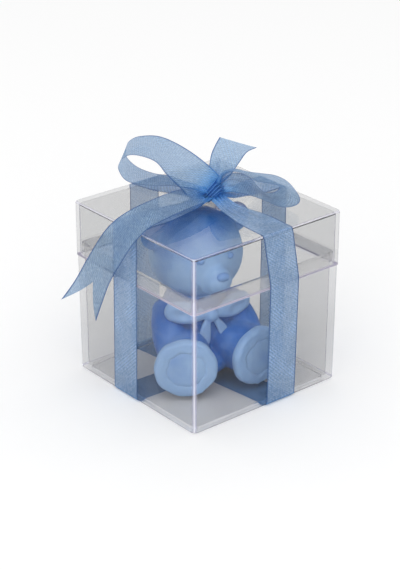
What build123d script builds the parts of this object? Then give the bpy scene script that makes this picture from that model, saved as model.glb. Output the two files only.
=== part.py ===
from build123d import *
import math
import os

# A clear two-piece gift box, tied up with one length of organza ribbon, with a small cast bear inside.
# Millimetres. Z is up, z = 0 is the table, and the origin is under the middle of the box.
# -Y is the front of the box and -X its left side.

# Ribbon
ribbon_width = 10.0
ribbon_thickness = 0.2
ribbon_gap = 0.05        # air between the ribbon and the walls that it is drawn over
gathered_width = 5.0     # width of the ribbon where it is bunched into the knot

# Box: the lid's skirt slips over a thin neck and stands on the base's shoulder
box_height = 50.0
lid_width = 50.8         # outside, at the skirt's rim
lid_height = 15.6
lid_wall = 1.0
lid_roof = 1.2
lid_draft = 0.04         # how far each side leans in from rim to roof
lid_overhang = 0.2       # how far the rim stands out past the base on each side
neck_wall = 0.8
neck_height = 3.6
neck_clearance = 0.1     # between neck and skirt on each side
base_draft = 0.15        # how far each side leans in from shoulder to foot
base_floor = 1.2
corner_radius = 1.6
inner_corner_radius = 1.0
edge_round = 0.7
foot_rim = 2.5
foot_recess = 0.5

# Where the ribbon's middle line runs on each side of the box
front_band_top_x = 2.6
front_band_rim_x = 5.2
front_band_foot_x = 4.9
left_band_top_y = 2.3
left_band_foot_y = 3.8
right_band_y = 1.5
back_band_x = -1.3
cross_ramp = 2.0         # length over which the upper ribbon climbs onto the lower one under the base

# Bow on the lid
knot_x = 3.6
knot_y = 1.8
knot_radius = 3.0
knot_foot_radius = 2.3
knot_crown_radius = 1.5
knot_height = 4.2
knot_gap = 0.2           # between the knot and the ribbon ends that come out of it
left_loop_x = -16.4      # from the knot's middle to the loop's turn
left_loop_y = 17.4
left_loop_z = 8.9
left_loop_axis = Vector(0.82, 0.45, 0.35)    # across the ribbon
left_loop_half_height = 4.9
left_loop_arch = 3.6
right_loop_x = 14.0
right_loop_y = -17.4
right_loop_z = 0.0
right_loop_axis = Vector(0.82, 0.55, 0.16)
right_loop_half_height = 1.5
right_loop_arch = 3.9
loop_opening = 0.2       # share of a loop's length over which it spreads to its full width
loop_steps = 14          # straight pieces that a loop is drawn with
front_tail_notch = 10.0   # depth of the swallowtail cut

# Bear
bear_x = 1.4
bear_y = 6.3
bear_turn = -18.0        # degrees about Z; at 0 the bear looks straight out of the front
head_turn = 6.0          # degrees that the head is turned back from the body
bear_headroom = 2.8      # between the ears and the lid
bear_seam = 0.1          # gap drawn between the bear's own parts
seat_gap = 0.05          # between the bear and the floor of the box
torso_seat_radius = 7.5
torso_radius = 10.4
torso_neck_radius = 6.6
belly_height = 8.6       # where the torso is widest
head_height = 24.4       # also its depth
head_cheek = 0.6         # how far each side stands out past a ball of that height
head_swell = 0.2         # how far a round form swells between its ends
neck_sink = 1.4          # how far the head settles onto the torso
ear_radius = 4.6
ear_thickness = 3.4
ear_spread = 11.8
ear_rise = 7.4           # of the ears' middle above the head's
muzzle_radius = 4.9
muzzle_tip_radius = 4.0
muzzle_swell = 0.1
muzzle_length = 2.0
muzzle_drop = 3.3        # of its middle below the head's
muzzle_forward = 10.2    # from the head's middle to the back of the muzzle
nose_radius = 1.1
nose_half_width = 1.8
nose_swell = 0.1
nose_forward = 15.6
nose_drop = 1.3
eye_radius = 0.9
eye_spread = 4.4
eye_rise = 2.4
shoulder_spread = 9.6
shoulder_forward = 2.0
shoulder_drop = 4.6      # below the torso's top
shoulder_radius = 3.6
arm_middle_radius = 4.6
paw_radius = 4.2
paw_spread = 11.0
paw_forward = 11.4
paw_height = 9.8
hip_spread = 5.4
hip_forward = 3.0
hip_radius = 5.8
leg_middle_radius = 6.6
ankle_radius = 6.8
leg_splay = 17.0         # degrees that each leg turns out
leg_length = 15.0
sole_radius = 8.3
sole_thickness = 3.2
pad_radius = 5.7
pad_thickness = 0.7

# Bow around the bear's neck
neck_bow_knot_radius = 1.9
neck_bow_stand = 0.6     # of its knot's middle in front of the torso's widest place
neck_bow_drop = 3.2      # of its knot below the torso's top
neck_bow_reach = 9.6
neck_bow_sweep = 2.2     # how far the loops' ends lie back
neck_bow_rise = 1.6
neck_bow_root_radius = 1.0
neck_bow_loop_radius = 2.7
neck_tail_length = 7.0
neck_tail_start = 1.2    # from the knot's middle line to the top of each tail
neck_tail_spread = 3.0
neck_tail_lean = 1.6     # both tails' feet lie over to the bear's left
neck_tail_top_width = 2.0
neck_tail_foot_width = 4.4
neck_tail_thickness = 1.0

# Heights and half widths that follow from these
foot_z = ribbon_thickness
lid_top_z = foot_z + box_height
rim_z = lid_top_z - lid_height
roof_z = lid_top_z - lid_roof
floor_z = foot_z + base_floor
lid_half = lid_width / 2
shoulder_half = lid_half - lid_overhang
foot_half = shoulder_half - base_draft
neck_half = lid_half - lid_wall - neck_clearance
inside_half = neck_half - neck_wall

os.makedirs("parts", exist_ok=True)


def save(node, solid):
    export_step(solid, f"parts/{node}.step")


def rounded_block(low_half, high_half, low_z, high_z, radius):
    """A square block with rounded upright corners, whose half width runs evenly from low to high."""
    low = Pos(0, 0, low_z) * RectangleRounded(2 * low_half, 2 * low_half, radius)
    high = Pos(0, 0, high_z) * RectangleRounded(2 * high_half, 2 * high_half, radius)
    return loft([low, high], ruled=True)


# Base: a cup with a shoulder for the lid, a thin neck above it and a shallow recess inside the foot rim

def make_base():
    outside = rounded_block(foot_half, shoulder_half, foot_z, rim_z, corner_radius)
    outside = fillet(outside.edges().group_by(Axis.Z)[0], edge_round)
    neck_top = rim_z + neck_height
    neck = rounded_block(neck_half, neck_half, rim_z, neck_top, inner_corner_radius + neck_wall)
    inside = rounded_block(inside_half - base_draft, inside_half, floor_z, neck_top, inner_corner_radius)
    recess_half = foot_half - foot_rim
    recess = rounded_block(recess_half, recess_half, foot_z, foot_z + foot_recess, inner_corner_radius)
    return outside + neck - inside - recess


save("box_base", make_base())


# Lid: a shallow cup turned over

def make_lid():
    roof_half = lid_half - lid_draft
    outside = rounded_block(lid_half, roof_half, rim_z, lid_top_z, corner_radius)
    outside = fillet(outside.edges().group_by(Axis.Z)[-1], edge_round)
    skirt_half = lid_half - lid_wall
    inside = rounded_block(skirt_half, skirt_half - lid_draft, rim_z, roof_z, inner_corner_radius)
    return outside - inside


save("lid", make_lid())


# Ribbon: every stretch is a strip through pairs of points on its two edges

def strip(pairs, thickness=ribbon_thickness):
    """A ruled strip through pairs of edge points, with each cross-section thickened along its normal."""
    sections = []
    for i, (near, far) in enumerate(pairs):
        before = pairs[max(i - 1, 0)]
        after = pairs[min(i + 1, len(pairs) - 1)]
        along = after[0] + after[1] - before[0] - before[1]
        half = along.cross(far - near).normalized() * (thickness / 2)
        corners = [near - half, far - half, far + half, near + half]
        sections.append(Face(Wire.make_polygon(corners, close=True)))
    return loft(sections, ruled=True)


def upright_band(stations, turn):
    """A band drawn up one side of the box. Stations are (height, sideways middle, distance of its inner face)
    for the side that faces -Y, and turn carries the band round Z to its own side."""
    sections = []
    for height, middle, distance in stations:
        place = Pos(middle, -distance - ribbon_thickness / 2, height)
        sections.append(place * Rectangle(ribbon_width, ribbon_thickness))
    return Rot(0, 0, turn) * loft(sections, ruled=True)


foot_distance = foot_half + ribbon_gap
rim_distance = lid_half + ribbon_gap
roof_distance = lid_half - lid_draft + ribbon_gap


def side_band(foot_middle, rim_middle, top_middle, turn):
    stations = [
        (0, foot_middle, foot_distance),
        (rim_z, rim_middle, rim_distance),
        (lid_top_z, top_middle, roof_distance),
    ]
    return upright_band(stations, turn)


# Turned to the left side, +X of the front becomes -Y; to the right side +Y; to the back -X
left_band_rim_y = left_band_foot_y + (left_band_top_y - left_band_foot_y) * rim_z / lid_top_z
save("ribbon_side_front", side_band(front_band_foot_x, front_band_rim_x, front_band_top_x, 0))
save("ribbon_side_left", side_band(-left_band_foot_y, -left_band_rim_y, -left_band_top_y, -90))
save("ribbon_side_right", side_band(right_band_y, right_band_y, right_band_y, 90))
save("ribbon_side_back", side_band(-back_band_x, -back_band_x, -back_band_x, 180))


# Under the base the left-right band lies on the table, and the front-back band climbs over it

def under_left_right():
    half = ribbon_width / 2
    outline = Polyline(
        (-foot_distance, left_band_foot_y - half),
        (foot_distance, right_band_y - half),
        (foot_distance, right_band_y + half),
        (-foot_distance, left_band_foot_y + half),
        close=True,
    )
    return extrude(make_face(outline), ribbon_thickness)


def under_front_back():
    slope = (right_band_y - left_band_foot_y) / (2 * foot_distance)
    middle_y = (left_band_foot_y + right_band_y) / 2
    reach = abs(slope) * (max(abs(front_band_foot_x), abs(back_band_x)) + ribbon_width / 2)
    low_y = middle_y - ribbon_width / 2 - reach - ribbon_gap
    high_y = middle_y + ribbon_width / 2 + reach + ribbon_gap
    lift = ribbon_thickness + ribbon_gap
    stations = [
        (-foot_distance, 0),
        (low_y - cross_ramp, 0),
        (low_y, lift),
        (high_y, lift),
        (high_y + cross_ramp, 0),
        (foot_distance, 0),
    ]
    sections = []
    for y, z in stations:
        share = (y + foot_distance) / (2 * foot_distance)
        middle = front_band_foot_x + (back_band_x - front_band_foot_x) * share
        upright = Plane(origin=(middle, y, z + ribbon_thickness / 2), x_dir=(1, 0, 0), z_dir=(0, 1, 0))
        sections.append(upright * Rectangle(ribbon_width, ribbon_thickness))
    return loft(sections, ruled=True)


save("ribbon_under_left_right", under_left_right())
save("ribbon_under_front_back", under_front_back())


# On the lid four bands run from the edges to the knot, where they are bunched narrower

def top_band(edge_x, edge_y):
    """A flat band on the lid from the middle of its edge at (edge_x, edge_y) to the knot."""
    edge = Vector(edge_x, edge_y, lid_top_z)
    knot = Vector(knot_x, knot_y, lid_top_z)
    sideways = Vector(1, 0, 0) if abs(edge_y) > abs(edge_x) else Vector(0, 1, 0)
    end = knot + (edge - knot).normalized() * (knot_radius + knot_gap)
    corners = [
        edge - sideways * (ribbon_width / 2),
        edge + sideways * (ribbon_width / 2),
        end + sideways * (gathered_width / 2),
        end - sideways * (gathered_width / 2),
    ]
    outline = Face(Wire.make_polygon(corners, close=True))
    return extrude(outline, ribbon_thickness, dir=(0, 0, 1))


lid_edge = roof_distance + ribbon_thickness
save("ribbon_top_front", top_band(front_band_top_x, -lid_edge))
save("ribbon_top_left", top_band(-lid_edge, left_band_top_y))
save("ribbon_top_right", top_band(lid_edge, right_band_y))
save("ribbon_top_back", top_band(back_band_x, lid_edge))


# Bow: a knot, two loops and two tails

knot_base = Vector(knot_x, knot_y, lid_top_z)
knot_middle = knot_base + Vector(0, 0, knot_height / 2)


def make_knot():
    foot = (knot_foot_radius, 0)
    crown = (knot_crown_radius, knot_height)
    side = ThreePointArc(foot, (knot_radius, knot_height / 2), crown)
    rest = Polyline(crown, (0, knot_height), (0, 0), foot)
    profile = Plane.XZ * make_face([side, rest])
    return Pos(*knot_base) * revolve(profile, Axis.Z)


save("bow_knot", make_knot())


def loop_pairs(reach, axis, half_height, arch):
    """Edge points of a loop that leaves the knot, turns at reach and comes back.
    With s from 0 to 1 along it, it stands sin(pi s) of the way out, and half_height sin(2 pi s) above
    an arched middle line of height arch sin(pi sin(pi s)). It widens from gathered to full at both ends."""
    out = reach.normalized()
    across = (axis - out * axis.dot(out)).normalized()
    up = across.cross(out)
    if up.Z < 0:
        up = up * -1
    start = math.asin((knot_radius + knot_gap) / reach.length) / math.pi
    pairs = []
    for i in range(loop_steps + 1):
        s = start + (1 - 2 * start) * i / loop_steps
        share = math.sin(math.pi * s)
        lift = half_height * math.sin(2 * math.pi * s) + arch * math.sin(math.pi * share)
        middle = knot_middle + reach * share + up * lift
        opened = min(1.0, (min(s, 1 - s) - start) / loop_opening)
        half = across * ((gathered_width + (ribbon_width - gathered_width) * opened) / 2)
        pairs.append((middle - half, middle + half))
    return pairs


left_reach = Vector(left_loop_x, left_loop_y, left_loop_z)
right_reach = Vector(right_loop_x, right_loop_y, right_loop_z)
left_loop = loop_pairs(left_reach, left_loop_axis, left_loop_half_height, left_loop_arch)
right_loop = loop_pairs(right_reach, right_loop_axis, right_loop_half_height, right_loop_arch)
save("bow_loop_left", strip(left_loop))
save("bow_loop_right", strip(right_loop))


# The front tail runs left over the lid, bends down past its edge and slants back as it hangs.
# On the lid its points are set from the knot, and past the edge from the lid's left wall and roof.

def on_lid(x, y, z):
    return knot_base + Vector(x, y, z)


def past_left_wall(x, y, z):
    return Vector(-lid_half - x, y, lid_top_z + z)


front_tail_pairs = [
    (on_lid(-4.5, -1.8, 1.3), on_lid(-3.0, 3.3, 2.0)),
    (on_lid(-9.2, -3.7, 1.8), on_lid(-5.6, 5.4, 3.0)),
    (on_lid(-16.6, -6.2, 2.6), on_lid(-13.5, 3.1, 4.2)),
    (past_left_wall(-4.6, -7.0, 3.2), past_left_wall(-7.7, 2.3, 5.0)),
    (past_left_wall(0.6, -7.5, 2.4), past_left_wall(-2.0, 1.9, 4.5)),
    (past_left_wall(2.6, -4.3, -2.2), past_left_wall(1.0, 4.9, 1.4)),
    (past_left_wall(3.0, -0.1, -8.2), past_left_wall(2.6, 8.6, -3.3)),
    (past_left_wall(2.9, 5.5, -16.1), past_left_wall(3.6, 14.7, -12.5)),
    (past_left_wall(2.6, 9.7, -23.8), past_left_wall(5.2, 18.4, -19.7)),
    (past_left_wall(2.0, 13.7, -31.1), past_left_wall(6.7, 22.9, -26.5)),
]


def swallowtail(pairs, depth):
    """The wedge that a V-shaped cut takes out of a strip's end, with its point depth before the end."""
    near, far = pairs[-1]
    middle = (near + far) * 0.5
    before = (pairs[-2][0] + pairs[-2][1]) * 0.5
    along = (middle - before).normalized()
    normal = along.cross(far - near).normalized()
    overshoot = along * ribbon_width
    side = (far - near) * (ribbon_width / depth)
    point = middle - along * depth
    corners = [point, near + overshoot - side * 0.5, far + overshoot + side * 0.5]
    lowered = [corner - normal * ribbon_width for corner in corners]
    return extrude(Face(Wire.make_polygon(lowered, close=True)), 2 * ribbon_width, dir=normal)


save("bow_tail_front", strip(front_tail_pairs) - swallowtail(front_tail_pairs, front_tail_notch))

back_tail_pairs = [
    (on_lid(0.6, 2.0, 4.9), on_lid(3.0, 0.0, 4.8)),
    (on_lid(1.4, 3.2, 7.6), on_lid(5.6, -0.8, 6.0)),
    (on_lid(2.6, 3.9, 11.0), on_lid(9.2, -1.3, 8.6)),
    (on_lid(5.8, 4.2, 15.2), on_lid(12.8, -2.2, 12.4)),
]
save("bow_tail_back", strip(back_tail_pairs))


# Bear: torso, head and limbs swell and taper, and each is cut clear of the larger ones.
# Its own frame stands on the box's floor and looks along -Y.

ear_z = roof_z - bear_headroom - ear_radius - floor_z
head_z = ear_z - ear_rise
torso_height = head_z - head_height / 2 + neck_sink
bear_place = Pos(bear_x, bear_y, floor_z) * Rot(0, 0, bear_turn)


def save_bear(node, solid):
    save(node, bear_place * solid)


def disc(radius, thickness):
    """A round disc on the XY plane with a fully rounded rim."""
    rim = thickness / 2
    bulge = ThreePointArc((radius - rim, 0), (radius, rim), (radius - rim, thickness))
    rest = Polyline((radius - rim, thickness), (0, thickness), (0, 0), (radius - rim, 0))
    return revolve(Plane.XZ * make_face([bulge, rest]), Axis.Z)


def torso(grow=0.0):
    low = seat_gap - grow
    high = torso_height + grow
    side = ThreePointArc(
        (torso_seat_radius + grow, low),
        (torso_radius + grow, belly_height),
        (torso_neck_radius + grow, high),
    )
    rest = Polyline((torso_neck_radius + grow, high), (0, high), (0, low), (torso_seat_radius + grow, low))
    return revolve(Plane.XZ * make_face([side, rest]), Axis.Z)


def limb(start, end, start_radius, middle_radius, end_radius, round_end=True):
    """A swelling limb of revolution from start to end, with a round start and a round or flat end."""
    length = (end - start).length
    tip = length + end_radius if round_end else length
    first = CenterArc((0, 0), start_radius, -90, 90)
    side = ThreePointArc((start_radius, 0), (middle_radius, length / 2), (end_radius, length))
    if round_end:
        last = CenterArc((0, length), end_radius, 0, 90)
    else:
        last = Line((end_radius, length), (0, tip))
    axis = Line((0, tip), (0, -start_radius))
    body = revolve(Plane.XZ * make_face([first, side, last, axis]), Axis.Z)
    return Plane(origin=start, z_dir=end - start) * body


def head_form(grow=0.0):
    radius = head_height / 2 + grow
    cheek = Vector(head_cheek, 0, 0)
    middle = Vector(0, 0, head_z)
    return limb(middle - cheek, middle + cheek, radius, radius + head_swell, radius)


def on_head(solid):
    """Turns a form that is built on the head with the head."""
    return Rot(0, 0, head_turn) * solid


torso_room = torso(bear_seam)
head_cut = head_form(bear_seam)
head_room = on_head(head_cut)
save_bear("bear_torso", torso())
save_bear("bear_head", on_head(head_form()) - torso_room)


def ear(side):
    place = Pos(side * ear_spread, ear_thickness / 2, ear_z) * Rot(90, 0, 0)
    return on_head(place * disc(ear_radius, ear_thickness) - head_cut)


def muzzle_form(grow=0.0):
    back = Vector(0, -muzzle_forward, head_z - muzzle_drop)
    front = back + Vector(0, -muzzle_length, 0)
    radius = muzzle_radius + grow
    return limb(back, front, radius, radius + muzzle_swell, muzzle_tip_radius + grow)


def nose():
    middle = Vector(0, -nose_forward, head_z - nose_drop)
    half = Vector(nose_half_width - nose_radius, 0, 0)
    bean = limb(middle - half, middle + half, nose_radius, nose_radius + nose_swell, nose_radius)
    return on_head(bean - muzzle_form(bear_seam))


def eye(side):
    """A bead set half into the head's face, at the head's own surface."""
    past_cheek = max(0.0, eye_spread - head_cheek)
    forward = math.sqrt((head_height / 2)**2 - eye_rise**2 - past_cheek**2)
    bead = Pos(side * eye_spread, -forward, head_z + eye_rise) * Sphere(eye_radius)
    return on_head(bead - head_cut)


save_bear("bear_muzzle", on_head(muzzle_form() - head_cut))
save_bear("bear_nose", nose())


def leg_frame(side):
    """Where a leg's hip is, and the way the leg points."""
    angle = math.radians(leg_splay)
    hip = Vector(side * hip_spread, -hip_forward, sole_radius + seat_gap)
    return hip, Vector(side * math.sin(angle), -math.cos(angle), 0)


def leg(side, grow=0.0):
    hip, way = leg_frame(side)
    radii = (hip_radius + grow, leg_middle_radius + grow, ankle_radius + grow)
    return limb(hip, hip + way * (leg_length + grow), *radii, round_end=False)


def sole(side):
    hip, way = leg_frame(side)
    return Plane(origin=hip + way * (leg_length + bear_seam), z_dir=way) * disc(sole_radius, sole_thickness)


def pad(side):
    hip, way = leg_frame(side)
    distance = leg_length + sole_thickness + 2 * bear_seam
    return Plane(origin=hip + way * distance, z_dir=way) * disc(pad_radius, pad_thickness)


def arm(side, grow=0.0):
    shoulder = Vector(side * shoulder_spread, -shoulder_forward, torso_height - shoulder_drop)
    paw = Vector(side * paw_spread, -paw_forward, paw_height)
    return limb(shoulder, paw, shoulder_radius + grow, arm_middle_radius + grow, paw_radius + grow)


bow_middle = Vector(0, -torso_radius - neck_bow_stand, torso_height - neck_bow_drop)


def neck_knot(grow=0.0):
    return Pos(*bow_middle) * Sphere(neck_bow_knot_radius + grow)


def neck_loop_form(side, grow=0.0):
    start = bow_middle + Vector(side * neck_bow_knot_radius, 0, 0)
    end = bow_middle + Vector(side * neck_bow_reach, neck_bow_sweep, neck_bow_rise)
    full = neck_bow_loop_radius + grow
    return limb(start, end, neck_bow_root_radius + grow, full, full)


for name, side in (("left", -1), ("right", 1)):
    leg_room = leg(side, bear_seam)
    save_bear(f"bear_ear_{name}", ear(side))
    save_bear(f"bear_eye_{name}", eye(side))
    save_bear(f"bear_leg_{name}", leg(side) - torso_room - neck_loop_form(side, bear_seam))
    save_bear(f"bear_sole_{name}", sole(side))
    save_bear(f"bear_pad_{name}", pad(side))
    save_bear(f"bear_arm_{name}", arm(side) - torso_room - head_room - leg_room)


# Neck bow on the chest, cast with the bear: a knot, two round loops and two flat tails

def neck_loop(side):
    loop = neck_loop_form(side) - neck_knot(bear_seam) - torso_room - head_room
    return loop - arm(side, bear_seam)


def neck_tail(side):
    top = bow_middle + Vector(side * neck_tail_start, 0, -neck_bow_knot_radius - bear_seam)
    foot = top + Vector(side * neck_tail_spread + neck_tail_lean, 0, -neck_tail_length)
    top_half = Vector(neck_tail_top_width / 2, 0, 0)
    foot_half_width = Vector(neck_tail_foot_width / 2, 0, 0)
    corners = [top - top_half, top + top_half, foot + foot_half_width, foot - foot_half_width]
    outline = Face(Wire.make_polygon(corners, close=True))
    flap = extrude(outline, neck_tail_thickness, dir=(0, -1, 0))
    return flap - torso_room - arm(side, bear_seam) - leg(side, bear_seam)


save_bear("neck_bow_knot", neck_knot() - torso_room - head_room)
for name, side in (("left", -1), ("right", 1)):
    save_bear(f"neck_bow_loop_{name}", neck_loop(side))
    save_bear(f"neck_bow_tail_{name}", neck_tail(side))
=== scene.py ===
import bpy
import numpy as np
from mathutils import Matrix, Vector


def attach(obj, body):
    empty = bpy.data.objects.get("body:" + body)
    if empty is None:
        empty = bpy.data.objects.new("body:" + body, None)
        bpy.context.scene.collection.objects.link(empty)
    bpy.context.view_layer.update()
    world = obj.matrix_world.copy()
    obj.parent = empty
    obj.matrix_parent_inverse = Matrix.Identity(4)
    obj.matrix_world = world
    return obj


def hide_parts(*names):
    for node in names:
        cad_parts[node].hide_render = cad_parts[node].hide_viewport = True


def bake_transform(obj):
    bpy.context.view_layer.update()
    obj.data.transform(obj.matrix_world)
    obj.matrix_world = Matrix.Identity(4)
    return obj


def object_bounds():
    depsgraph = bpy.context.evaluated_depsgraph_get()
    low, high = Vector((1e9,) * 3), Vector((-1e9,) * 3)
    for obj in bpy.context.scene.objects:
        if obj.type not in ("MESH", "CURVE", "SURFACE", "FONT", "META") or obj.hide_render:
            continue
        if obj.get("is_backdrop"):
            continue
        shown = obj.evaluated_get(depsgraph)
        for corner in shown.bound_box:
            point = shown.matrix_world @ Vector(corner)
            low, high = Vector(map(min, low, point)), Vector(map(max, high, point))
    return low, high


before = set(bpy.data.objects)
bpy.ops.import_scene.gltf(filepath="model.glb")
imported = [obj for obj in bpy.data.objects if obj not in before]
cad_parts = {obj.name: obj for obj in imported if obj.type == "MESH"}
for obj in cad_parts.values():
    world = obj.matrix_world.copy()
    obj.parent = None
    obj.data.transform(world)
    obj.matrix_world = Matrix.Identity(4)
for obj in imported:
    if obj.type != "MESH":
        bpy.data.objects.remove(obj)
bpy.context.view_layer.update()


# Base of the box: a square cup with a shoulder and a thin neck that the lid slips over.
# Clear general-purpose polystyrene, injection moulded in one shot in a polished mould.
# It stands on the two ribbon bands that cross under its foot.

def linear(hex_colour):
    """An sRGB hex colour as linear RGBA: c / 12.92 for dark channels, else ((c + 0.055) / 1.055) ** 2.4."""
    srgb = np.array([int(hex_colour[i:i + 2], 16) for i in (1, 3, 5)]) / 255
    rgb = np.where(srgb <= 0.04045, srgb / 12.92, ((srgb + 0.055) / 1.055) ** 2.4)
    return (*rgb.tolist(), 1.0)


def add(tree, kind, sockets=None, **settings):
    """Adds one node, gives it its settings, and sets or links each input socket that is named or numbered."""
    node = tree.nodes.new(kind)
    for name, value in settings.items():
        setattr(node, name, value)
    for name, value in (sockets or {}).items():
        if isinstance(value, bpy.types.NodeSocket):
            tree.links.new(value, node.inputs[name])
        else:
            node.inputs[name].default_value = value
    return node


def calc(tree, operation, *values, clamp=False):
    """The result of one calculation on up to three values."""
    return add(tree, "ShaderNodeMath", dict(enumerate(values)), operation=operation, use_clamp=clamp).outputs[0]


def ramp(tree, value, from_low, from_high, to_low=0.0, to_high=1.0, clamp=True):
    """A value carried from one range to another, and held at the ends if clamped."""
    return add(tree, "ShaderNodeMapRange", {
        "Value": value, "From Min": from_low, "From Max": from_high, "To Min": to_low, "To Max": to_high,
    }, clamp=clamp).outputs[0]


def mixed(tree, share, first, second):
    """Two colours mixed: the first at share 0, the second at share 1."""
    return add(tree, "ShaderNodeMix", {0: share, 6: first, 7: second}, data_type="RGBA").outputs[2]


def noise(tree, place, scale, detail):
    """A cloudy pattern with values round 0.5."""
    return add(tree, "ShaderNodeTexNoise", {"Vector": place, "Scale": scale, "Detail": detail}).outputs["Fac"]


def stretched(tree, place, scale, turn=(0.0, 0.0, 0.0)):
    """Coordinates turned and scaled along each axis."""
    return add(tree, "ShaderNodeMapping", {"Vector": place, "Rotation": turn, "Scale": scale}).outputs[0]


def bumped(tree, height, strength, distance):
    """A normal tilted as by relief of that height."""
    return add(tree, "ShaderNodeBump", {"Height": height, "Strength": strength, "Distance": distance}).outputs[0]


def new_material(name):
    """An empty node material."""
    material = bpy.data.materials.new(name)
    material.use_nodes = True
    material.node_tree.nodes.clear()
    return material


# Polystyrene is hard, glassy and a little grey in the thickness. Handling leaves faint hairline scuffs
# that catch the light, and the melt's flow leaves the faces very slightly wavy. Walls of 1 to 1.7 mm shift
# what is seen through them by about half a millimetre, so the body bends light only a little and a
# coat gives the surface its reflections.
polystyrene = new_material("polystyrene_clear_moulded")
tree = polystyrene.node_tree
place = add(tree, "ShaderNodeTexCoord").outputs["Object"]
scuff_length, scuff_width = 0.009, 0.0006
streaks = stretched(tree, place, (1 / scuff_length, 1 / scuff_width, 1 / scuff_width), (0.5, 0.4, 0.7))
haze = ramp(tree, noise(tree, streaks, 1.0, 3.0), 0.6, 0.8, 0.0, 0.04)
flow_width = 0.011
waves = bumped(tree, noise(tree, place, 1 / flow_width, 1.0), 0.03, 0.0003)
# The rounded edges are painted milky, as lit from inside by the light that the walls lead to them: part of their
# clearness gives way to a pale diffuse colour. They are told by the normal's largest part along any axis, which is
# 1 on a flat face and 0.71 on an edge's crest.
crest_part, crest_end, edge_start, flat_part = 0.71, 0.84, 0.8, 0.995
normal = add(tree, "ShaderNodeNewGeometry").outputs["True Normal"]
parts = add(tree, "ShaderNodeVectorMath", {0: normal}, operation="ABSOLUTE").outputs[0]
parts = add(tree, "ShaderNodeSeparateXYZ", {0: parts}).outputs
largest = calc(tree, "MAXIMUM", calc(tree, "MAXIMUM", parts["X"], parts["Y"]), parts["Z"])
openness = ramp(tree, largest, crest_part, flat_part, 0.5, 1.0)
# The neck, where the lid's skirt overlaps it, is made a little less clear.
neck_foot, neck_top, neck_haze = 0.0347, 0.0383, 0.12
height = add(tree, "ShaderNodeSeparateXYZ", {0: place}).outputs["Z"]
above_foot = calc(tree, "GREATER_THAN", height, neck_foot)
below_top = calc(tree, "LESS_THAN", height, neck_top)
on_neck = calc(tree, "MULTIPLY", above_foot, below_top)
openness = calc(tree, "MULTIPLY_ADD", on_neck, -neck_haze, openness)
# Where the lid's rim stands on the base's shoulder, a pale line is painted, a painted highlight: the faces there
# give up clearness to a near-white lavender.
seat_height, seat_half, seat_highlight = 0.0346, 0.00006, 0.6
off_seat = calc(tree, "ABSOLUTE", calc(tree, "SUBTRACT", height, seat_height))
on_seat = calc(tree, "LESS_THAN", off_seat, seat_half)
openness = calc(tree, "MULTIPLY_ADD", on_seat, -seat_highlight, openness)
# Painted light: the rounded edges are painted a greyish lavender.
on_edge = ramp(tree, largest, edge_start, flat_part, 1.0, 0.0)
tint = mixed(tree, on_edge, linear("#E4E4E4"), linear("#B2B0CA"))
# A painted highlight: the crest of each rounded edge is painted near white, for the light it gathers, and reads as
# a white line.
on_crest = ramp(tree, largest, crest_part, crest_end, 1.0, 0.0)
tint = mixed(tree, on_crest, tint, linear("#FAFAFD"))
# The seat's painted highlight.
tint = mixed(tree, on_seat, tint, linear("#ECE8F4"))
clear = add(tree, "ShaderNodeBsdfPrincipled", {
    "Base Color": tint,
    "Roughness": haze,
    "IOR": 1.09,
    "Transmission Weight": openness,
    "Coat Weight": 0.6,
    "Coat Roughness": 0.02,
    "Coat IOR": 1.36,
    "Normal": waves,
    "Coat Normal": waves,
})
lit_through = add(tree, "ShaderNodeBsdfTransparent", {"Color": linear("#F6F6F8")})
shadow_ray = add(tree, "ShaderNodeLightPath").outputs["Is Shadow Ray"]
either = add(tree, "ShaderNodeMixShader", {0: shadow_ray, 1: clear.outputs[0], 2: lit_through.outputs[0]})
add(tree, "ShaderNodeOutputMaterial", {"Surface": either.outputs[0]})
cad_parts["box_base"].material_slots[0].material = polystyrene


# Bear: one little figure, cast in tinted wax, that sits on the box's floor.
# Torso, head, ears, muzzle, arms and legs run into each other, as they do out of a rubber mould.
# Its own frame looks along -Y, and its sizes are in millimetres.

floor_height = 1.4
bear_stand = np.array([1.4, 6.3, floor_height])
bear_turn = np.radians(-18.0)
head_turn = np.radians(6.0)
head_height = 32.8
torso_radius = 10.4
belly_height = 8.6
ear_radius = 4.6


def turned_about_z(points, angle):
    """Points turned about the Z axis by an angle."""
    c, s = np.cos(angle), np.sin(angle)
    return points @ np.array([[c, s, 0], [-s, c, 0], [0, 0, 1]])


def in_box(points):
    """From the bear's own frame to the box's."""
    return turned_about_z(points, bear_turn) + bear_stand


def on_head(form):
    """A form of the head, which looks a little to one side, turned with it."""
    return turned_about_z(form, head_turn)


def revolved(along, radius, foot, way, sides=56):
    """A form of revolution as a grid: ring i has radius[i] and stands along[i] from foot in the direction way."""
    way = np.asarray(way, float) / np.linalg.norm(way)
    first = np.cross(way, [0.31, 0.17, 0.93])
    first /= np.linalg.norm(first)
    angle = np.arange(sides) * 2 * np.pi / sides
    ring = np.cos(angle)[:, None] * first + np.sin(angle)[:, None] * np.cross(way, first)
    return np.asarray(foot, float) + along[:, None, None] * way + radius[:, None, None] * ring


def ball(middle, radii):
    """An ellipsoid as a grid: rings at heights sin(latitude), cos(latitude) wide, times the three radii."""
    latitude = np.linspace(-np.pi / 2, np.pi / 2, 41)
    unit = revolved(np.sin(latitude), np.cos(latitude), (0, 0, 0), (0, 0, 1))
    return np.asarray(middle, float) + unit * np.asarray(radii, float)


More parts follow.
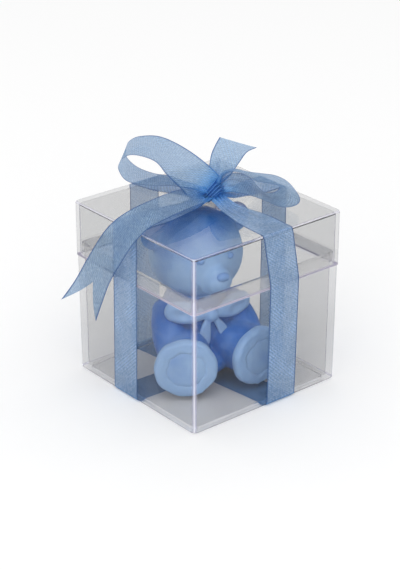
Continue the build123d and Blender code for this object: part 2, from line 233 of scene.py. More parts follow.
def limb(start, end, start_radius, middle_radius, end_radius):
    """A swelling limb: a round cap, a parabola through the three radii from start to end, and a round cap."""
    start, end = np.asarray(start, float), np.asarray(end, float)
    length = np.linalg.norm(end - start)
    turn = np.linspace(0, np.pi / 2, 14)
    t = np.linspace(0, 1, 25)[1:-1]
    swell = start_radius * (1 - t) * (1 - 2 * t) + 4 * middle_radius * t * (1 - t) + end_radius * t * (2 * t - 1)
    along = np.concatenate([-start_radius * np.cos(turn), t * length, length + end_radius * np.sin(turn)])
    radius = np.concatenate([start_radius * np.sin(turn), swell, end_radius * np.cos(turn)])
    return revolved(along, radius, start, end - start)


def torso():
    """A sack: radius 10.4 (1 - |h| ** 2.2) ** (1 / 2.2), with h the height off the belly over 17.5 up or 9.5 down.
    Upright furrows up to 0.3 mm deep, two waves in the angle, fade towards both ends as 1 - h ** 2."""
    above, below, power = 17.5, 9.5, 2.2
    share = np.sin(np.linspace(-np.pi / 2, np.pi / 2, 61))
    height = np.where(share > 0, above, below) * share
    radius = torso_radius * np.maximum(1 - np.abs(share) ** power, 0) ** (1 / power)
    sack = revolved(belly_height + height, radius, (0, 0, 0), (0, 0, 1))
    angle = np.arctan2(sack[:, :, 1], sack[:, :, 0])
    furrow = 0.2 * np.sin(13 * angle + 0.5) + 0.1 * np.sin(21 * angle + 2.0)
    sack[:, :, :2] *= 1 + (furrow * (1 - share ** 2)[:, None] / torso_radius)[:, :, None]
    return sack


def ear(side):
    """A thick dished disc: a round rim of radius 4.6, hollowed by 1 mm (1 - r ** 2) towards the front."""
    half_thickness, hollow = 1.7, 1.0
    turn = np.linspace(0, np.pi, 40)
    spread = np.sin(turn)
    along = half_thickness * np.cos(turn) - hollow * (np.cos(turn) > 0) * (1 - spread ** 2)
    return revolved(along, ear_radius * spread, (side * 11.8, 0, 40.2), (0, -1, 0))


leg_splay = np.radians(17.0)
leg_length = 13.0
leg_end = 16.5
leg_ways = {side: np.array([side * np.sin(leg_splay), -np.cos(leg_splay), 0]) for side in (-1, 1)}
hips = {side: np.array([side * 5.4, -3.0, 8.35]) for side in (-1, 1)}


def leg(side):
    """A limb from the hip along the leg's way, with the part past leg_end pressed flat against the sole."""
    form = limb(hips[side], hips[side] + leg_ways[side] * leg_length, 5.8, 6.9, 6.6)
    past_end = np.maximum((form - hips[side]) @ leg_ways[side] - leg_end, 0)
    return form - past_end[:, :, None] * leg_ways[side]


def grid_faces(rows, columns, wrap):
    """Quads of a grid of points, row by row; with wrap the last column joins the first."""
    last = columns if wrap else columns - 1
    row, column = np.meshgrid(np.arange(rows - 1), np.arange(last), indexing="ij")
    here, below, after = row * columns, (row + 1) * columns, (column + 1) % columns
    return np.stack([here + column, here + after, below + after, below + column], -1).reshape(-1, 4)


def new_piece(name, points, faces):
    """A smooth mesh object from points in millimetres."""
    mesh = bpy.data.meshes.new(name)
    mesh.from_pydata((points * 0.001).tolist(), [], faces.tolist())
    mesh.shade_smooth()
    piece = bpy.data.objects.new(name, mesh)
    bpy.context.scene.collection.objects.link(piece)
    return piece


def cast_piece(name, forms, voxel, rounds):
    """One closed casting from overlapping grids: a voxel remesh joins them and smoothing rounds the joins."""
    points, faces, count = [], [], 0
    for form in forms:
        rows, columns = form.shape[:2]
        points.append(form.reshape(-1, 3))
        faces.append(grid_faces(rows, columns, True) + count)
        count += rows * columns
    rough = new_piece(name + "_rough", np.concatenate(points), np.concatenate(faces))
    remesh = rough.modifiers.new("join", "REMESH")
    remesh.mode = "VOXEL"
    remesh.voxel_size = voxel * 0.001
    smooth = rough.modifiers.new("round", "SMOOTH")
    smooth.factor = 0.5
    smooth.iterations = rounds
    joined = bpy.data.meshes.new_from_object(rough.evaluated_get(bpy.context.evaluated_depsgraph_get()))
    joined.name = name
    joined.shade_smooth()
    bpy.data.objects.remove(rough)
    piece = bpy.data.objects.new(name, joined)
    bpy.context.scene.collection.objects.link(piece)
    return piece


def give(piece, attribute, values):
    """Stores a number for each vertex of a piece; a single value serves for all."""
    values = np.array(np.broadcast_to(values, len(piece.data.vertices)), np.float32)
    piece.data.attributes.new(attribute, "FLOAT", "POINT").data.foreach_set("value", values)


# Tinted wax is dull and slightly see-through, so light bleeds into thin edges. It cools in soft cloudy patches of
# paler tone, is painted paler as lit on the head and sole pads, is paler at the paws' ends, and keeps a fine grain
# and upright furrows from the mould.
def cast_wax(name, colour, pale_and_lit):
    """A wax of one colour that pales towards a second colour in cloudy patches, and where a vertex attribute paints
    it paler, mostly as painted light.
    """
    material = new_material(name)
    tree = material.node_tree
    place = add(tree, "ShaderNodeTexCoord").outputs["Object"]
    cloud_width = 0.007
    clouds = noise(tree, place, 1 / cloud_width, 3.0)
    paler = ramp(tree, clouds, 0.35, 0.75, -0.1, 0.35, clamp=False)
    # Painted light: a vertex attribute paints the head, nose, eyes and sole pads paler, as lit, and the paws' ends
    # paler.
    pale_and_lit_share = add(tree, "ShaderNodeAttribute", attribute_name="pale_and_lit").outputs["Fac"]
    paler = calc(tree, "ADD", paler, pale_and_lit_share, clamp=True)
    grain_width = 0.0009
    grain = noise(tree, place, 1 / grain_width, 2.0)
    furrow_width, furrow_length = 0.0024, 0.014
    upright = stretched(tree, place, (1 / furrow_width, 1 / furrow_width, 1 / furrow_length))
    relief = calc(tree, "MULTIPLY_ADD", noise(tree, upright, 1.0, 1.0), 3.0, grain)
    wax = add(tree, "ShaderNodeBsdfPrincipled", {
        "Base Color": mixed(tree, paler, linear(colour), linear(pale_and_lit)),
        "Roughness": ramp(tree, clouds, 0.3, 0.7, 0.42, 0.62),
        "IOR": 1.44,
        "Subsurface Weight": 0.3,
        "Subsurface Radius": (0.8, 0.9, 1.0),
        "Subsurface Scale": 0.0015,
        "Normal": bumped(tree, relief, 0.35, 0.0002),
    })
    add(tree, "ShaderNodeOutputMaterial", {"Surface": wax.outputs[0]})
    return material


# The blue wax's second colour serves both its pale cloudy patches and the painted light on the head and pads.
blue_wax = cast_wax("wax_blue_cast", "#2269BA", "#92B2D6")
pale_wax = cast_wax("wax_pale_blue_cast", "#88AAD2", "#A8C2E0")

head = ball((0, 0, head_height), (12.9, 12.3, 12.2))
lap = ball((0, -6.5, 4.6), (6.0, 8.5, 4.4))
muzzle = limb((0, -10.2, 29.5), (0, -12.2, 29.5), 4.9, 5.0, 4.0)
forms = [torso(), on_head(head), lap, on_head(muzzle)]
for side in (-1, 1):
    arm = limb((side * 9.6, -2.0, 17.4), (side * 11.0, -11.4, 9.8), 3.6, 4.6, 4.2)
    forms += [on_head(ear(side)), arm, leg(side)]
bear = cast_piece("bear_casting", [in_box(form) for form in forms], 0.4, 8)

# Its seat is flat and stands just clear of the box's floor.
seat_gap = 0.05
points = np.empty(len(bear.data.vertices) * 3)
bear.data.vertices.foreach_get("co", points)
points = points.reshape(-1, 3)
points[:, 2] = np.maximum(points[:, 2], (floor_height + seat_gap) * 0.001)
bear.data.vertices.foreach_set("co", points.ravel())

# Painted light: the head is painted paler than the body for the light on it, the crown hardly; the ends of the paws
# are paler too.
above_floor = points[:, 2] * 1000 - floor_height
face = np.clip((above_floor - 20) / 5, 0, 1)
crown = np.clip((above_floor - 34) / 8, 0, 1)
pale_and_lit = 0.95 * face * (1 - 0.8 * crown)
for side in (-1, 1):
    paw = in_box(np.array([side * 11.0, -14.0, 8.0]))
    pale_and_lit = np.maximum(pale_and_lit, 1.1 * np.exp(-(np.linalg.norm(points * 1000 - paw, axis=1) / 4.0) ** 2))
give(bear, "pale_and_lit", pale_and_lit)
bear.data.materials.append(blue_wax)
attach(bear, "base")
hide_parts("bear_torso", "bear_head", "bear_muzzle", "bear_ear_left", "bear_ear_right", "bear_arm_left",
            "bear_arm_right", "bear_leg_left", "bear_leg_right")


# Face: a bean-shaped nose and two bead eyes, cast with the head and standing a little proud of it.
# The same wax as the body, painted paler with the face's painted light.

bean = limb((-0.7, -15.6, 31.5), (0.7, -15.6, 31.5), 1.1, 1.2, 1.1)
nose = cast_piece("bear_nose_cast", [in_box(on_head(bean))], 0.15, 3)
give(nose, "pale_and_lit", 0.6)
nose.data.materials.append(blue_wax)
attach(nose, "base")
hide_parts("bear_nose")

# The eyes stand as far forward as the head's surface does a little nearer its middle, so they stay proud of it.
eye_radius = 0.9
eye_spread, eye_rise = 4.4, 2.4
head_radius, nearer_spread = 12.2, 3.8
eye_forward = np.sqrt(head_radius ** 2 - eye_rise ** 2 - nearer_spread ** 2)
for name, side in (("left", -1), ("right", 1)):
    bead = ball((side * eye_spread, -eye_forward, head_height + eye_rise), (eye_radius, eye_radius, eye_radius))
    eye = cast_piece(f"bear_eye_{name}_cast", [in_box(on_head(bead))], 0.12, 3)
    # Painted light: each eye is painted paler with the face.
    give(eye, "pale_and_lit", 0.5)
    eye.data.materials.append(blue_wax)
    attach(eye, "base")
    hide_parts(f"bear_eye_{name}")


# Soles: a paler, uneven ring of wax round the end of each leg, with a smooth blue pad inside it.
# The pale ring was brushed or poured into the mould first, so its inner edge wanders.

sole_start = 15.1
pad_radius = 5.3


def sole_ring(side):
    """A dished disc of revolution through an outline of radius and height. Its rim, of radius 8.3, and its hollow,
    of radius 5, wander by waves in the angle."""
    outline = np.array([
        (0, 0), (4, 0), (7.4, 0.1), (8.1, 0.5), (8.35, 1.3), (8.3, 2.2), (7.9, 2.9), (7.0, 3.2), (5.6, 3.3),
        (5.1, 3.15), (4.8, 2.9), (2, 2.8), (0, 2.8),
    ])
    top_of_rim = 6.5
    place = np.arange(len(outline))
    steps = np.linspace(0, len(outline) - 1, 80)
    radius, along = np.interp(steps, place, outline[:, 0]), np.interp(steps, place, outline[:, 1])
    sides = 96
    angle = np.arange(sides) * 2 * np.pi / sides
    inner = 0.05 * np.sin(4 * angle + side) + 0.04 * np.sin(7 * angle + 2 * side) + 0.03 * np.sin(11 * angle)
    outer = 0.012 * np.sin(5 * angle + 2 * side) + 0.008 * np.sin(9 * angle)
    wander = np.where((steps > top_of_rim)[:, None], inner, outer)
    foot = hips[side] + leg_ways[side] * sole_start
    straight = revolved(along, radius, foot, leg_ways[side], sides)
    axis = foot + along[:, None, None] * leg_ways[side]
    return axis + (straight - axis) * (1 + wander)[:, :, None]


def sole_pad(side):
    """A low round cushion of radius 5.3 that swells by 0.75 sqrt(1 - r ** 6) over its rim."""
    rim, swell, depth = 2.6, 0.75, 1.2
    turn = np.linspace(np.pi, 0, 50)
    spread = np.sin(turn)
    along = np.where(np.cos(turn) > 0, rim + swell * np.sqrt(1 - spread ** 6), rim - depth * np.cos(turn) ** 2)
    return revolved(along, pad_radius * spread, hips[side] + leg_ways[side] * sole_start, leg_ways[side], 64)


for name, side in (("left", -1), ("right", 1)):
    ring = cast_piece(f"sole_ring_{name}", [in_box(sole_ring(side))], 0.2, 2)
    ring.data.materials.append(pale_wax)
    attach(ring, "base")
    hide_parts(f"bear_sole_{name}")
    pad = cast_piece(f"sole_pad_{name}", [in_box(sole_pad(side))], 0.2, 2)
    # Painted light: the pad is painted paler, as lit from the front.
    give(pad, "pale_and_lit", 0.75)
    pad.data.materials.append(blue_wax)
    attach(pad, "base")
    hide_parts(f"bear_pad_{name}")


# Neck bow: two flattened, dented loops, a round knot and two flat tails on the bear's chest.
# Paler wax, cast in one with the bear.

bow_middle = np.array([0, -11.0, 18.8])


def dented_loop(side):
    """A swelling limb, 0.75 times as deep and 1.12 times as tall as round. Its front has a dent of
    1.2 exp(-(a / 2.4) ** 2 - (h / 1.3) ** 2), with a the way along it from two thirds out and h the height off
    its middle line."""
    start, end = bow_middle + [side * 1.9, 0, 0], bow_middle + [side * 9.6, 2.2, 1.6]
    form = limb(start, end, 1.0, 2.7, 2.6)
    length = np.linalg.norm(end - start)
    way = (end - start) / length
    along = np.clip((form - start) @ way, 0, length)[:, :, None]
    middle = start + along * way
    off = (form - middle) * [1, 0.75, 1.12]
    in_front = off[:, :, 1:2] < 0
    dent = 1.2 * np.exp(-((along - 0.66 * length) / 2.4) ** 2 - (off[:, :, 2:] / 1.3) ** 2) * in_front
    return middle + off + dent * [0, 1, 0]


def flat_tail(side):
    """A flat tail that widens from 2 to 4.4 mm downwards: a squared oval section carried along its middle line."""
    t = np.linspace(0, 1, 30)
    top = bow_middle + np.array([side * 1.2, 0, -1.2])
    foot = top + np.array([side * 3.0 + 1.6, -0.4, -7.7])
    end = np.sqrt(np.clip(1 - np.abs(2 * t - 1) ** 8, 0, 1))
    angle = np.arange(40) * 2 * np.pi / 40
    across = np.sign(np.cos(angle)) * np.abs(np.cos(angle)) ** 0.5
    thick = np.sign(np.sin(angle)) * np.abs(np.sin(angle)) ** 0.5
    middle = top + t[:, None] * (foot - top)
    width = ((1.0 + 1.2 * t) * end)[:, None] * across
    depth = 0.6 * end[:, None] * thick
    return middle[:, None] + np.stack([width, depth, 0 * width], -1)


forms = [ball(bow_middle, (1.9, 1.9, 2.1))]
for side in (-1, 1):
    forms += [dented_loop(side), flat_tail(side)]
neck_bow = cast_piece("neck_bow", [in_box(form) for form in forms], 0.25, 4)
neck_bow.data.materials.append(pale_wax)
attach(neck_bow, "base")
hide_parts("neck_bow_knot", "neck_bow_loop_left", "neck_bow_loop_right", "neck_bow_tail_left",
            "neck_bow_tail_right")


# Lid: the upper third of the cube, a shallow cup turned over. Its skirt slips over the base's neck.
# The same clear polystyrene as the base, from a mould of its own.

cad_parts["lid"].material_slots[0].material = polystyrene


# Ribbon round the box: one 10 mm strip of organza, passed crosswise under the base, up the four sides
# and over the lid to the knot. It is held only by its own tension.
# Sizes are in millimetres; skin is how far the cloth's middle stands off what it lies on.

ribbon_width = 10.0
skin = 0.1
lid_top = 50.2
rim_height = 34.6
foot_wall, rim_wall, roof_wall = 25.2, 25.55, 25.51
fold_radius = 0.9
fold_rows = 14
knot = np.array([3.6, 1.8, lid_top])
crush_height, crush_reach = 2.0, 5.6
up = np.array([0.0, 0.0, 1.0])


# Organza is a stiff, sheer plain weave of fine shiny filament: thin threads with open gaps, so what
# lies behind shows through. Both edges have a denser woven selvedge that reads as a dark line.
organza = new_material("organza_blue_plain_weave")
tree = organza.node_tree
cloth = add(tree, "ShaderNodeUVMap", uv_map="threads").outputs[0]


def lines(tree, place, scale, distortion, direction):
    """Bands of light and dark across a direction, a little wavy."""
    return add(tree, "ShaderNodeTexWave", {
        "Vector": place, "Scale": scale, "Distortion": distortion, "Detail": 1.0, "Detail Scale": 0.3,
    }, bands_direction=direction).outputs["Fac"]


# Real threads stand 0.15 mm apart, too fine for the render, so they are drawn 0.55 mm apart.
thread_spacing = 0.55
thread_scale = 2 * np.pi / (20 * thread_spacing)
warp = lines(tree, cloth, thread_scale, 0.4, "X")
weft = lines(tree, cloth, thread_scale, 0.4, "Y")
crossing = calc(tree, "ADD", warp, weft)
slub_length = 4.0
uneven = calc(tree, "MULTIPLY_ADD", crossing, 0.65, noise(tree, cloth, 1 / slub_length, 4.0))
# Threads that lie close behind each other beat into fine diagonal lines that come and go over a few millimetres.
beat_spacing, beat_patch = 0.75, 9.0
beat = lines(tree, cloth, 2 * np.pi / (10 * np.sqrt(2) * beat_spacing), 0.5, "DIAGONAL")
patches = ramp(tree, noise(tree, cloth, 1 / beat_patch, 1.0), 0.42, 0.6, 0.1, 1.2)
uneven = calc(tree, "MULTIPLY_ADD", beat, patches, uneven)
# Single filaments catch the light for a short way along the warp or the weft, a sparkling grain: the short streaks
# vary how densely the threads cover, and painted glints lighten the dye where they are strongest.
glint_width, glint_length = 0.3, 1.1
along_warp = stretched(tree, cloth, (1 / glint_width, 1 / glint_length, 1.0))
along_weft = stretched(tree, cloth, (1 / glint_length, 1 / glint_width, 1.0))
glints = calc(tree, "ADD", noise(tree, along_warp, 1.0, 1.0), noise(tree, along_weft, 1.0, 1.0))
uneven = calc(tree, "MULTIPLY_ADD", glints, 0.85, uneven)
cover = ramp(tree, uneven, 0.6, 3.6, 0.22, 0.85)
# Painted glints: the strongest streaks paint the dye lighter.
painted_glint = ramp(tree, glints, 0.75, 1.3)
selvedge_start, selvedge_full = 4.6, 4.75
across_cloth = add(tree, "ShaderNodeSeparateXYZ", {0: cloth}).outputs["X"]
off_middle = calc(tree, "ABSOLUTE", calc(tree, "SUBTRACT", across_cloth, ribbon_width / 2))
selvedge = ramp(tree, off_middle, selvedge_start, selvedge_full)
cover = calc(tree, "MAXIMUM", cover, calc(tree, "MULTIPLY", selvedge, 0.9))
# Painted light: cloth drawn tight over the plastic is painted as a lit copy of the dye, bluer and lighter than
# cloth in the air, and drawn a little denser.
painted_lit = add(tree, "ShaderNodeAttribute", attribute_name="painted_lit").outputs["Fac"]
free_dye = mixed(tree, painted_glint, linear("#86AACF"), linear("#B4D0E8"))
lit_dye = mixed(tree, painted_glint, linear("#96BCE8"), linear("#C2DCF8"))
dye = mixed(tree, painted_lit, free_dye, lit_dye)
cover = calc(tree, "MULTIPLY_ADD", painted_lit, 0.1, cover, clamp=True)
dye = mixed(tree, selvedge, dye, linear("#3E669E"))
# Crushed layers at the knot, and cloth pressed flat under the base, let hardly any white light in between them.
crushed = add(tree, "ShaderNodeAttribute", attribute_name="crushed").outputs["Fac"]
dye = mixed(tree, crushed, dye, linear("#4CA6EA"))
cover = calc(tree, "MULTIPLY_ADD", crushed, 0.4, cover, clamp=True)
filament = add(tree, "ShaderNodeBsdfPrincipled", {
    "Base Color": dye,
    "Roughness": 0.42,
    "IOR": 1.5,
    "Sheen Weight": 0.15,
    "Sheen Roughness": 0.4,
    "Normal": bumped(tree, crossing, 0.3, 0.0001),
})
glow = add(tree, "ShaderNodeBsdfTranslucent", {"Color": dye})
thread = add(tree, "ShaderNodeMixShader", {0: 0.45, 1: filament.outputs[0], 2: glow.outputs[0]})
# What shows through the gaps is tinted by the light that the threads pass on, so folded layers turn bluer.
gap = add(tree, "ShaderNodeBsdfTransparent", {"Color": linear("#B8C4D6")})
weave = add(tree, "ShaderNodeMixShader", {0: cover, 1: gap.outputs[0], 2: thread.outputs[0]})
add(tree, "ShaderNodeOutputMaterial", {"Surface": weave.outputs[0]})


def eased(x):
    """From 0 to 1 with no slope at either end: 3 x ** 2 - 2 x ** 3."""
    x = np.clip(x, 0, 1)
    return x * x * (3 - 2 * x)


def ribbon(name, near, far, pleats=0, pleat_height=0, columns=25, notch=0, curl=0, pressed=0, painted_lit=0):
    """A strip between two edge lines, straight across, at shares u of its width and v of its rows. Along its
    normal it waves by pleat_height[row] sin(2 pi pleats u + 0.6), and the far corner of its end curls by
    curl c ** 2, where c runs from 0 to 1 over the last two fifths of u and the last half of v. With a notch, the
    column at u ends notch (1 - |2 u - 1|) short. The threads map holds millimetres of cloth: across from 0 to 10,
    and along by the middle line's length. Crushed is exp(-(d / 5.6) ** 2) at distance d from the knot, and nowhere
    less than pressed."""
    rows = len(near)
    u = np.linspace(0, 1, columns)
    v = np.linspace(0, 1, rows)[:, None]
    middle = (near + far) / 2
    step = np.linalg.norm(np.diff(middle, axis=0), axis=1)
    length = np.concatenate([[0], np.cumsum(step)])
    normal = np.cross(np.gradient(middle, axis=0), far - near)
    normal /= np.linalg.norm(normal, axis=1)[:, None]
    lift = np.broadcast_to(pleat_height, rows)[:, None] * np.sin(2 * np.pi * pleats * u + 0.6)
    corner_share = np.clip((u - 0.6) / 0.4, 0, 1) * np.clip((v - 0.5) / 0.5, 0, 1)
    lift = lift + curl * corner_share ** 2
    across = u[:, None]
    strip = near[:, None] * (1 - across) + far[:, None] * across + normal[:, None] * lift[:, :, None]
    place = np.arange(rows)[:, None] * (1 - notch / length[-1] * (1 - np.abs(2 * u - 1)))
    low = np.minimum(place.astype(int), rows - 2)
    part = (place - low)[:, :, None]
    column = np.arange(columns)
    points = (strip[low, column] * (1 - part) + strip[low + 1, column] * part).reshape(-1, 3)
    piece = new_piece(name, points, grid_faces(rows, columns, False))
    along = np.interp(place, np.arange(rows), length)
    threads = np.stack(np.broadcast_arrays(u * ribbon_width, along), -1).reshape(-1, 2)
    corner = np.empty(len(piece.data.loops), int)
    piece.data.loops.foreach_get("vertex_index", corner)
    piece.data.uv_layers.new(name="threads").data.foreach_set("uv", threads[corner].ravel())
    from_knot = np.linalg.norm(points - knot - up * crush_height, axis=1)
    give(piece, "crushed", np.maximum(np.exp(-(from_knot / crush_reach) ** 2), pressed))
    give(piece, "painted_lit", painted_lit)
    piece.data.materials.append(organza)
    return piece, length[-1]


# For each side: the way out, the way across, and the band's middle at the lid's edge, the rim and the foot.
sides = {
    "front": ((0, -1, 0), (1, 0, 0), 2.6, 5.2, 4.9),
    "left": ((-1, 0, 0), (0, 1, 0), 2.3, 2.77, 3.8),
    "right": ((1, 0, 0), (0, 1, 0), 1.5, 1.5, 1.5),
    "back": ((0, 1, 0), (1, 0, 0), -1.3, -1.3, -1.3),
}
for name, (out, across, top, rim, foot) in sides.items():
    out, across = np.array(out, float), np.array(across, float)
    half = across * ribbon_width / 2

    # Up the side, between the folds at the foot and at the lid's edge
    low, high = fold_radius + skin, lid_top + skin - fold_radius
    z = np.linspace(low, high, 90)
    wall = np.interp(z, [0, rim_height, lid_top], [foot_wall, rim_wall, roof_wall])
    sideways = np.interp(z, [0, rim_height - 3, rim_height + 1, lid_top], [foot, rim, rim, top])
    line = out * wall[:, None] + across * sideways[:, None] + up * z[:, None]
    band, length = ribbon(f"band_side_{name}", line - half, line + half, painted_lit=1)
    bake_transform(band)
    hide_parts(f"ribbon_side_{name}")

    # Over the lid's edge and across the roof to just short of the knot, where it is bunched and climbs
    short_of_knot, climb, narrowing, pleat_depth = 0.8, 1.3, 0.55, 0.42
    turn = np.linspace(0, np.pi / 2, fold_rows)[:, None]
    fold = out * (roof_wall - fold_radius) + across * top + up * (lid_top + skin - fold_radius)
    over = fold + fold_radius * (np.cos(turn) * out + np.sin(turn) * up)
    start, foot_of_knot = over[-1], knot + up * skin
    end = foot_of_knot + (start - foot_of_knot) * (short_of_knot / np.linalg.norm(start - knot))
    t = np.linspace(0, 1, 60)[1:, None]
    roof = start + t * (end - start) + up * climb * eased((t - 0.7) / 0.3)
    line = np.concatenate([over, roof])
    bunch = np.concatenate([np.zeros((fold_rows, 1)), eased((t - 0.25) / 0.75)])
    narrow = half * (1 - narrowing * bunch)
    pleat_height = pleat_depth * bunch[:, 0]
    band, length = ribbon(f"band_top_{name}", line - narrow, line + narrow, 4, pleat_height, 65, painted_lit=1)
    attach(band, "lid")
    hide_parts(f"ribbon_top_{name}")

# Under the base the left-right band lies on the table, and the front-back band climbs over it.
inset = foot_wall - fold_radius
climb_start, climb_run = 8.5, 2.0
turn = np.linspace(np.pi / 2, 0, fold_rows)[:, None]
bend_reach = inset + fold_radius * np.sin(turn)
bend_rise = skin + fold_radius * (1 - np.cos(turn))
under = (("left_right", "left", "right", 0.0, 0.0), ("front_back", "front", "back", 0.25, -2.6))
for name, first, last, lift, crossing_middle in under:
    (out, across, _, _, first_foot), (_, _, _, _, last_foot) = sides[first], sides[last]
    out, across = np.array(out, float), np.array(across, float)
    half = across * ribbon_width / 2
    reach = np.linspace(inset, -inset, 60)[1:-1, None]
    rise = skin + lift * eased((climb_start - np.abs(reach - crossing_middle)) / climb_run)
    first_bend = out * bend_reach + up * bend_rise
    last_bend = (up * bend_rise - out * bend_reach)[::-1]
    line = np.concatenate([first_bend, out * reach + up * rise, last_bend])
    share = (1 - line @ out / foot_wall) / 2
    line = line + across * (first_foot + (last_foot - first_foot) * share)[:, None]
    band, length = ribbon(f"band_under_{name}", line - half, line + half, pressed=0.45)
    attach(band, "base")
    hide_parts(f"ribbon_under_{name}")


# Bow on the lid: the same strip, tied in a knot with two loops and two tails.
# The cloth bunches to half its width in the knot and springs open again past it.

def through(points, rows):
    """A smooth line through points: Catmull-Rom, whose slope at a point is half the step between its neighbours."""
    points = np.asarray(points, float)
    padded = np.concatenate([2 * points[:1] - points[1:2], points, 2 * points[-1:] - points[-2:-1]])
    place = np.linspace(0, len(points) - 1, rows)
    i = np.minimum(place.astype(int), len(points) - 2)
    t = (place - i)[:, None]
    a, b, c, d = padded[i], padded[i + 1], padded[i + 2], padded[i + 3]
    return b + t * (c - a) / 2 + t ** 2 * (2 * a - 5 * b + 4 * c - d) / 2 + t ** 3 * (3 * b - a - 3 * c + d) / 2


def bow_part(name, node, near, far, bunch_in, bunch_out, notch=0, curl=0):
    """A ribbon whose two edges run smoothly through points set from the knot's foot. It is pleated where it is
    bunched, over the shares bunch_in at its start and bunch_out at its end."""
    rows_per_point, pleats, pleat_depth, columns = 18, 3, 0.5, 49
    rows = rows_per_point * len(near)
    near, far = knot + through(near, rows), knot + through(far, rows)
    place = np.linspace(0, 1, rows)
    bunch = eased(1 - place / bunch_in)
    if bunch_out:
        bunch = bunch + eased(1 - (1 - place) / bunch_out)
    piece, length = ribbon(name, near, far, pleats, pleat_depth * bunch, columns, notch, curl)
    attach(piece, "lid")
    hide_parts(node)
    return piece, length


# The left loop stands up from the knot, turns over at the back left and comes back low over the lid.
near = [
    (-2.4, -1.6, 0.5), (-6.2, 1.2, 1.2), (-8.2, 3.2, 4.1), (-11.5, 5.2, 8.4), (-14.0, 6.6, 12.2),
    (-17.3, 9.1, 14.0), (-20.0, 11.2, 14.0), (-21.6, 13.0, 11.0), (-20.1, 12.5, 7.2), (-17.6, 10.7, 5.7),
    (-13.7, 7.5, 5.2), (-9.8, 4.4, 4.9), (-5.6, 1.1, 3.9), (-2.7, -1.1, 2.7),
]
far = [
    (0.6, -0.5, 1.1), (2.7, -0.1, 3.3), (2.0, 0.8, 6.9), (-2.3, 6.8, 12.4), (-7.0, 12.8, 15.8),
    (-11.3, 16.8, 15.9), (-13.5, 18.8, 14.4), (-14.0, 19.5, 12.1), (-13.5, 19.6, 9.4), (-11.1, 18.2, 6.6),
    (-7.7, 15.6, 4.8), (-5.1, 12.0, 4.4), (-3.1, 7.6, 3.5), (-0.9, 1.8, 3.0),
]
loop, length = bow_part("organza_loop_left", "bow_loop_left", near, far, 0.12, 0.25)

# The right loop rises over the knot, leans out to the right and turns back along the lid.
near = [
    (0.1, -0.7, 2.7), (1.1, -1.2, 6.3), (2.0, -2.0, 8.2), (3.7, -4.4, 9.3), (5.9, -7.7, 8.9), (8.3, -11.2, 8.8),
    (10.1, -13.8, 8.6), (11.7, -16.4, 7.4), (12.8, -18.8, 5.0), (13.2, -19.9, 3.0), (12.6, -19.5, 1.5),
    (11.1, -17.6, 0.5), (9.5, -15.2, 0.5), (8.0, -12.8, 1.4), (6.4, -9.9, 2.2), (4.7, -7.0, 2.6),
    (3.2, -4.4, 2.8), (2.0, -2.5, 2.5), (0.8, -1.4, 1.9),
]
far = [
    (1.9, 0.8, 2.0), (4.9, 1.8, 5.1), (7.4, 1.5, 5.6), (9.2, 0.1, 5.4), (10.8, -1.5, 4.5), (11.9, -3.6, 3.5),
    (13.5, -6.2, 3.3), (14.8, -8.0, 3.1), (15.3, -9.3, 2.8), (14.8, -9.8, 2.4), (14.3, -9.4, 1.7),
    (14.2, -8.1, 0.9), (13.9, -6.2, 0.4), (13.6, -4.6, 0.5), (13.3, -2.9, 1.4), (11.9, -1.8, 3.6),
    (9.8, -0.5, 5.2), (6.5, 0.6, 5.8), (2.4, 0.4, 3.8),
]
loop, length = bow_part("organza_loop_right", "bow_loop_right", near, far, 0.15, 0.15)

# The front tail runs left over the lid, bends down past its edge and ends in a swallowtail cut.
near = [
    (-1.6, -1.5, 1.0), (-4.5, -2.2, 1.3), (-9.2, -3.9, 1.8), (-16.6, -6.2, 2.6), (-24.4, -8.8, 3.2),
    (-29.6, -9.3, 2.4), (-31.6, -6.1, -2.2), (-32.0, -1.9, -8.2), (-31.9, 3.7, -16.1), (-31.6, 7.9, -23.8),
    (-31.0, 11.9, -31.1),
]
far = [
    (-0.6, 0.6, 1.4), (-3.0, 3.3, 2.0), (-6.6, 5.2, 3.0), (-13.5, 3.1, 4.2), (-21.3, 0.5, 5.0),
    (-27.0, 0.1, 4.5), (-30.0, 3.1, 1.4), (-31.6, 6.8, -3.3), (-32.6, 12.9, -12.5), (-34.2, 16.6, -19.7),
    (-35.7, 21.1, -26.5),
]
notch_depth = 10.0
tail, length = bow_part("organza_tail_front", "bow_tail_front", near, far, 0.2, 0, notch_depth)

# The back tail is short, stands up behind the knot and is cut straight. One corner of its end curls out.
near = [(0.6, 2.0, 4.2), (1.4, 3.2, 7.6), (2.6, 3.9, 11.0), (4.2, 4.1, 13.4), (5.8, 4.2, 15.2)]
far = [(3.0, 0.0, 4.0), (5.6, -0.8, 6.0), (8.6, -0.8, 8.8), (10.6, -1.5, 11.4), (12.7, -3.0, 12.6)]
tail, length = bow_part("organza_tail_back", "bow_tail_back", near, far, 0.6, 0, curl=-1.6)

# The knot is the strip wound tightly twice round the gathered bands, pinched to ridges. Each winding is a circle
# of radius 2.2, growing to 2.8, about the bundle's way, and the strip is 2.4 to 3.6 mm wide along it.
knot_rows = 220
knot_middle = knot + up * 2.2
turn = np.linspace(0, 4 * np.pi, knot_rows)[:, None]
slant = np.array([0.73, -0.21, 0.63])
slant /= np.linalg.norm(slant)
bundle = np.array([0.35, -0.68, -0.63])
bundle -= slant * (bundle @ slant)
bundle /= np.linalg.norm(bundle)
winding = 2.2 + 0.6 * turn / turn[-1]
line = knot_middle + winding * (np.cos(turn) * slant + np.sin(turn) * np.cross(bundle, slant))
half = bundle * (1.5 + 0.3 * np.cos(turn))
wrap, length = ribbon("organza_knot", line - half, line + half, 4, 0.5, 65)
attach(wrap, "lid")
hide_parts("bow_knot")


# Studio: a pale paper floor that runs out of sight, even white light from all round, and one broad soft lamp
# above the front left. The camera stands where the box's edges in the photo put it.

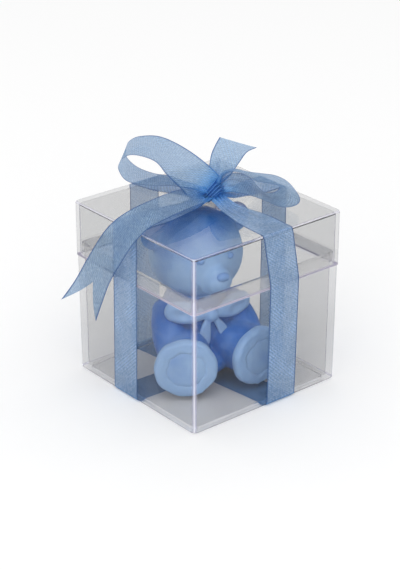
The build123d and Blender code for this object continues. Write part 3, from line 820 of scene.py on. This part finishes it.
floor_half, floor_drop = 2000.0, 0.05
corners = np.array([(-1, -1, 0), (1, -1, 0), (1, 1, 0), (-1, 1, 0)]) * floor_half - [0, 0, floor_drop]
floor = new_piece("floor", corners, np.array([[0, 1, 2, 3]]))
# Matt white paper with a faint nap, which keeps a soft shadow and no reflection.
paper = new_material("paper_white_matt")
tree = paper.node_tree
place = add(tree, "ShaderNodeTexCoord").outputs["Object"]
nap_width = 0.0025
nap = bumped(tree, noise(tree, place, 1 / nap_width, 2.0), 0.02, 0.0001)
sheet = add(tree, "ShaderNodeBsdfDiffuse", {"Color": linear("#FBFBFB"), "Normal": nap})
add(tree, "ShaderNodeOutputMaterial", {"Surface": sheet.outputs[0]})
floor.data.materials.append(paper)
floor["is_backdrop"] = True

# The surround is full white where it is seen, directly, mirrored or through the plastic, and lights a little less.
scene = bpy.context.scene
scene.world = bpy.data.worlds.new("studio")
scene.world.use_nodes = True
tree = scene.world.node_tree
tree.nodes.clear()
path = add(tree, "ShaderNodeLightPath").outputs
seen = calc(tree, "MAXIMUM", path["Is Camera Ray"], path["Is Glossy Ray"])
seen = calc(tree, "MAXIMUM", seen, path["Is Transmission Ray"])
lighting_level, seen_level = 0.74, 1.0
level = ramp(tree, seen, 0.0, 1.0, lighting_level, seen_level)
sky = add(tree, "ShaderNodeBackground", {"Color": (1.0, 1.0, 1.0, 1.0), "Strength": level})
add(tree, "ShaderNodeOutputWorld", {"Surface": sky.outputs[0]})

lamp = bpy.data.objects.new("soft_lamp", bpy.data.lights.new("soft_lamp", "AREA"))
lamp.data.size = 3.0
lamp.data.energy = 33.0
lamp.location = (-1.1, -0.95, 1.5)
lamp.rotation_mode = "QUATERNION"
lamp.rotation_quaternion = (Vector((0, 0, 0.03)) - lamp.location).to_track_quat("-Z", "Y")
scene.collection.objects.link(lamp)

scene.view_settings.view_transform = "Standard"
# A line of sight may cross a dozen clear walls and ribbons.
for limit in ("max_bounces", "glossy_bounces", "transmission_bounces", "transparent_max_bounces"):
    setattr(scene.cycles, limit, 64)

camera = bpy.data.objects.new("camera", bpy.data.cameras.new("camera"))
camera.data.sensor_width = 36.0
camera.data.lens = 108.5
camera.location = (-0.26965, -0.32380, 0.22494)
camera.rotation_mode = "QUATERNION"
camera.rotation_quaternion = Vector((0.57609, 0.69783, -0.42563)).to_track_quat("-Z", "Y")
scene.collection.objects.link(camera)
scene.camera = camera

low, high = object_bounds()
